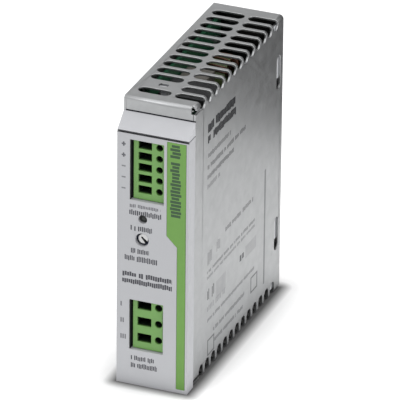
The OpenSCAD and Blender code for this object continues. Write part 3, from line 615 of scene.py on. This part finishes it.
def coil_spring():
    """Compression spring with closed end turns."""
    low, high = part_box("latch_spring")
    wire = 0.25 * MM
    radius = (high.x - low.x) / 2 - wire
    middle = (low + high) / 2
    turns, steps = 8, 20
    path = []
    # The turns lie close at both ends and open towards the middle
    for k in range(turns * steps + 1):
        at = k / (turns * steps)
        eased = 0.09 * at + 0.91 * (3 * at ** 2 - 2 * at ** 3)
        angle = 2 * math.pi * k / steps
        height = low.z + wire + (high.z - low.z - 2 * wire) * eased
        x, y = middle.x + radius * math.cos(angle), middle.y + radius * math.sin(angle)
        path.append(Vector((x, y, height)))
    built = bmesh.new()
    add_wire(built, path, wire, 10)
    obj = piece("coil_spring", built, "housing", "latch_spring", "spring")
    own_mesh(obj)


def lamp_dome():
    """Lamp with a rounded front, a straight body and a collar behind the panel."""
    low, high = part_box("status_led")
    middle = (low + high) / 2
    body, collar = 1.8, (high.x - low.x) / 2 / MM
    y_tip, y_rear = low.y / MM, high.y / MM
    dome_h, collar_t = 1.1, 1.2
    angles = [math.radians(a) for a in range(0, 91, 10)]
    profile = [(body * math.sin(a), y_tip + dome_h * (1 - math.cos(a))) for a in angles]
    profile += [(body, y_rear - collar_t - 0.1), (body + 0.1, y_rear - collar_t)]
    profile += [(collar, y_rear - collar_t), (collar, y_rear), (0, y_rear)]
    steps = 40
    built = bmesh.new()
    rings = []
    for r, y in profile:
        turns = [2 * math.pi * k / steps for k in range(steps if r > 0 else 1)]
        points = [(middle.x + r * MM * math.cos(a), y * MM, middle.z + r * MM * math.sin(a)) for a in turns]
        rings.append([built.verts.new(point) for point in points])
    for first, second in zip(rings, rings[1:]):
        for k in range(steps):
            after = (k + 1) % steps
            corners = [first[k % len(first)], first[after % len(first)]]
            corners += [second[after % len(second)], second[k % len(second)]]
            built.faces.new(list(dict.fromkeys(corners)))
    obj = piece("lamp_dome", built, "housing", "status_led", "lens")
    edge = obj.modifiers.new("edge", "EDGE_SPLIT")
    edge.split_angle = math.radians(50)


choke_windings()
coil_spring()
lamp_dome()


# ---------- studio ----------


def sheet(name, corners, p):
    """A flat four-sided surface of the studio, with its finish."""
    mesh = bpy.data.meshes.new(name)
    built = bmesh.new()
    built.faces.new([built.verts.new(corner) for corner in corners])
    built.to_mesh(mesh)
    built.free()
    mesh.materials.append(p.material)
    obj = bpy.data.objects.new(name, mesh)
    bpy.context.scene.collection.objects.link(obj)
    return obj


def floor():
    """Pale floor: shaded right beside the object and brightest 2 to 4 cm away from it."""
    half = 2.5
    p = Paint("floor")
    p.set(Roughness=p.ramp(p.noise(20, 3), 0.75, 0.85))
    pale = p.mix(p.ramp(p.noise(60, 3), 0, 1), (0.84, 0.84, 0.84), (0.87, 0.87, 0.87))
    # Distance from the footprint of the housing, in millimetres
    beside = p.math("MAXIMUM", p.math("SUBTRACT", p.math("ABSOLUTE", p.axis(0)), 16), 0)
    from_middle = p.math("ABSOLUTE", p.math("ADD", p.axis(1), 4))
    ahead = p.math("MAXIMUM", p.math("SUBTRACT", from_middle, 53), 0)
    away = p.math("SQRT", p.math("ADD", p.math("POWER", beside, 2), p.math("POWER", ahead, 2)))
    p.shader.inputs["Emission Color"].default_value = (1, 1, 1, 1)
    # Painted shadow: the floor darkens within 6 mm of the housing's footprint
    p.set(Base_Color=p.mix(p.ramp(away, 1, 0, 0.5, 6), pale, (0.12, 0.12, 0.12)))
    # Painted glow: the floor emits light, strongest 19 to 40 mm from the footprint and fainter further out
    p.set(Emission_Strength=p.both(p.ramp(away, 0, 0.37, 3, 19), p.ramp(away, 1, 0.45, 40, 110)))
    obj = sheet("floor", [(-half, -half, 0), (half, -half, 0), (half, half, 0), (-half, half, 0)], p)


def flag():
    """Black card behind the right, out of the picture: it darkens what the steel side reflects."""
    width, behind, low, high = 0.5, 0.18, 0.005, 0.42
    p = Paint("flag")
    p.set(Base_Color=p.mix(p.noise(40, 3), (0.07, 0.07, 0.07), (0.09, 0.09, 0.09)), Roughness=0.9)
    corners = [(0, behind, low), (width, behind, low), (width, behind, high), (0, behind, high)]
    obj = sheet("flag", corners, p)
    obj.visible_camera = False
    obj.visible_diffuse = False
    obj.visible_shadow = False


def area_light(name, place, target, size, power):
    data = bpy.data.lights.new(name, "AREA")
    data.shape = "RECTANGLE"
    data.size, data.size_y = size
    data.energy = power
    obj = bpy.data.objects.new(name, data)
    bpy.context.scene.collection.objects.link(obj)
    obj.location = place
    obj.rotation_euler = (Vector(target) - Vector(place)).to_track_quat("-Z", "Y").to_euler()


def world():
    made = bpy.data.worlds.new("studio")
    bpy.context.scene.world = made
    made.use_nodes = True
    back = made.node_tree.nodes["Background"]
    back.inputs["Color"].default_value = (1, 1, 1, 1)
    back.inputs["Strength"].default_value = 0.66


def camera():
    """Long lens from the right and above, as far away as a catalogue picture is taken."""
    azimuth, elevation, roll, away = math.radians(21.67), math.radians(26.52), math.radians(0.58), 2.592
    back = Vector((math.sin(azimuth) * math.cos(elevation), -math.cos(azimuth) * math.cos(elevation),
                   math.sin(elevation)))
    right = Vector((math.cos(azimuth), math.sin(azimuth), 0))
    aim = Vector((0, -0.0025, 0.065)) - 0.0007 * right - 0.00186 * back.cross(right)
    data = bpy.data.cameras.new("camera")
    data.lens = 552
    data.sensor_width = 36
    data.clip_start, data.clip_end = 0.1, 20
    obj = bpy.data.objects.new("camera", data)
    bpy.context.scene.collection.objects.link(obj)
    obj.location = aim + back * away
    turned = (-back).to_track_quat("-Z", "Y").to_matrix() @ Matrix.Rotation(roll, 3, "Z")
    obj.rotation_euler = turned.to_euler()
    bpy.context.scene.camera = obj


floor()
world()
flag()
area_light("key", (-0.6, -1.2, 1.2), (0, 0, 0.06), (0.9, 0.9), 8)
area_light("top", (0.1, 0.1, 1.8), (0, 0, 0), (2.4, 2.4), 20)
area_light("fill", (1.1, 0.5, 0.8), (0.1, 0, 0), (0.8, 0.8), 5)
camera()
bpy.context.scene.view_settings.view_transform = "Standard"
